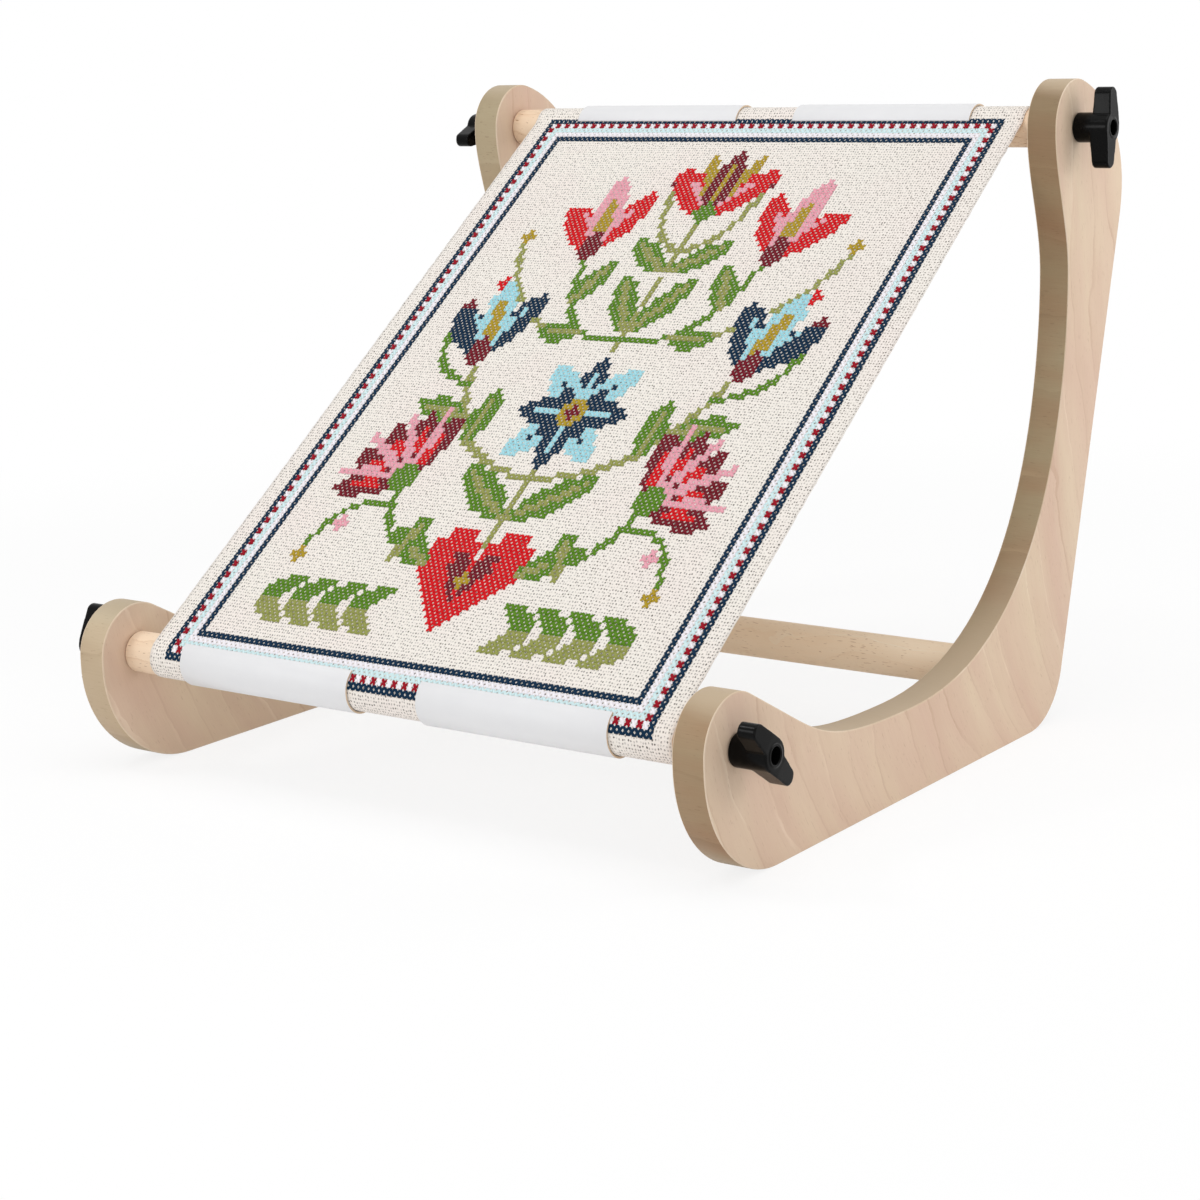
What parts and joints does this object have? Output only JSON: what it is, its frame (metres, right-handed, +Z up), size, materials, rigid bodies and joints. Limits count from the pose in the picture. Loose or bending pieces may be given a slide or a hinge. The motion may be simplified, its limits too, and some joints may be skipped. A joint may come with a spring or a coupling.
{
  "type": "embroidery scroll frame stand",
  "caption": "Tabletop beech scroll frame that holds an embroidery cloth on turning rollers between two swept side panels, clamped by wing knobs.",
  "frame": {"origin": "centre of the stand's footprint, on the table", "axes": "+X along the rollers to the stand's right, +Y from the front roller to the back, +Z up"},
  "size_m": [0.4416, 0.4378, 0.3529],
  "materials": {
    "side_panel_beech": "sanded flat-sawn beech, faintly pink, with soft growth bands and short ray flecks; darker end grain on the cut edges",
    "dowel_beech": "smooth turned beech dowel, warm and pale, with fine lengthwise flecks",
    "knob_plastic": "black moulded nylon, semi-gloss",
    "clip_plastic": "white satin plastic",
    "stud_metal": "yellow-passivated threaded rod",
    "insert_brass": "turned brass",
    "linen_cloth": "unbleached evenweave cloth with cross-stitch"
  },
  "bodies": {
    "stand": {"left_side_panel": "side_panel_beech", "right_side_panel": "side_panel_beech", "stretcher": "dowel_beech", "cloth": "linen_cloth"},
    "front_roller_body": {"front_roller": "dowel_beech", "front_left_stud": "stud_metal", "front_right_stud": "stud_metal", "front_left_clip": "clip_plastic", "front_right_clip": "clip_plastic"},
    "top_roller_body": {"top_roller": "dowel_beech", "top_left_stud": "stud_metal", "top_right_stud": "stud_metal", "top_left_clip": "clip_plastic", "top_right_clip": "clip_plastic"},
    "front_left_insert_body": {"front_left_insert": "insert_brass"},
    "front_left_knob_body": {"front_left_knob": "knob_plastic"},
    "front_right_insert_body": {"front_right_insert": "insert_brass"},
    "front_right_knob_body": {"front_right_knob": "knob_plastic"},
    "top_left_insert_body": {"top_left_insert": "insert_brass"},
    "top_left_knob_body": {"top_left_knob": "knob_plastic"},
    "top_right_insert_body": {"top_right_insert": "insert_brass"},
    "top_right_knob_body": {"top_right_knob": "knob_plastic"}
  },
  "joints": [
    {"name": "front_roller_turn", "type": "hinge", "parent": "stand", "child": "front_roller_body", "pos_m": [0, -0.19241, 0.064], "axis": [1, 0, 0], "range_deg": [0, 80]},
    {"name": "top_roller_turn", "type": "hinge", "parent": "stand", "child": "top_roller_body", "pos_m": [0, 0.16159, 0.3264], "axis": [-1, 0, 0], "range_deg": [0, 80]},
    {"name": "front_left_knob_travel", "type": "slide", "parent": "front_roller_body", "child": "front_left_insert_body", "axis": [-1, 0, 0], "range_m": [0, 0.002]},
    {"name": "front_left_knob_turn", "type": "hinge", "parent": "front_left_insert_body", "child": "front_left_knob_body", "pos_m": [-0.1998, -0.19241, 0.064], "axis": [-1, 0, 0], "range_deg": [0, 720]},
    {"name": "front_right_knob_travel", "type": "slide", "parent": "front_roller_body", "child": "front_right_insert_body", "axis": [1, 0, 0], "range_m": [0, 0.002]},
    {"name": "front_right_knob_turn", "type": "hinge", "parent": "front_right_insert_body", "child": "front_right_knob_body", "pos_m": [0.1998, -0.19241, 0.064], "axis": [1, 0, 0], "range_deg": [0, 720]},
    {"name": "top_left_knob_travel", "type": "slide", "parent": "top_roller_body", "child": "top_left_insert_body", "axis": [-1, 0, 0], "range_m": [0, 0.002]},
    {"name": "top_left_knob_turn", "type": "hinge", "parent": "top_left_insert_body", "child": "top_left_knob_body", "pos_m": [-0.1998, 0.16159, 0.3264], "axis": [-1, 0, 0], "range_deg": [0, 720]},
    {"name": "top_right_knob_travel", "type": "slide", "parent": "top_roller_body", "child": "top_right_insert_body", "axis": [1, 0, 0], "range_m": [0, 0.002]},
    {"name": "top_right_knob_turn", "type": "hinge", "parent": "top_right_insert_body", "child": "top_right_knob_body", "pos_m": [0.1998, 0.16159, 0.3264], "axis": [1, 0, 0], "range_deg": [0, 720]}
  ],
  "couplings": [
    {"joint": "front_left_knob_turn", "follows": "front_left_knob_travel", "rad_per_m": 6283},
    {"joint": "front_right_knob_turn", "follows": "front_right_knob_travel", "rad_per_m": 6283},
    {"joint": "top_left_knob_turn", "follows": "top_left_knob_travel", "rad_per_m": 6283},
    {"joint": "top_right_knob_turn", "follows": "top_right_knob_travel", "rad_per_m": 6283}
  ]
}
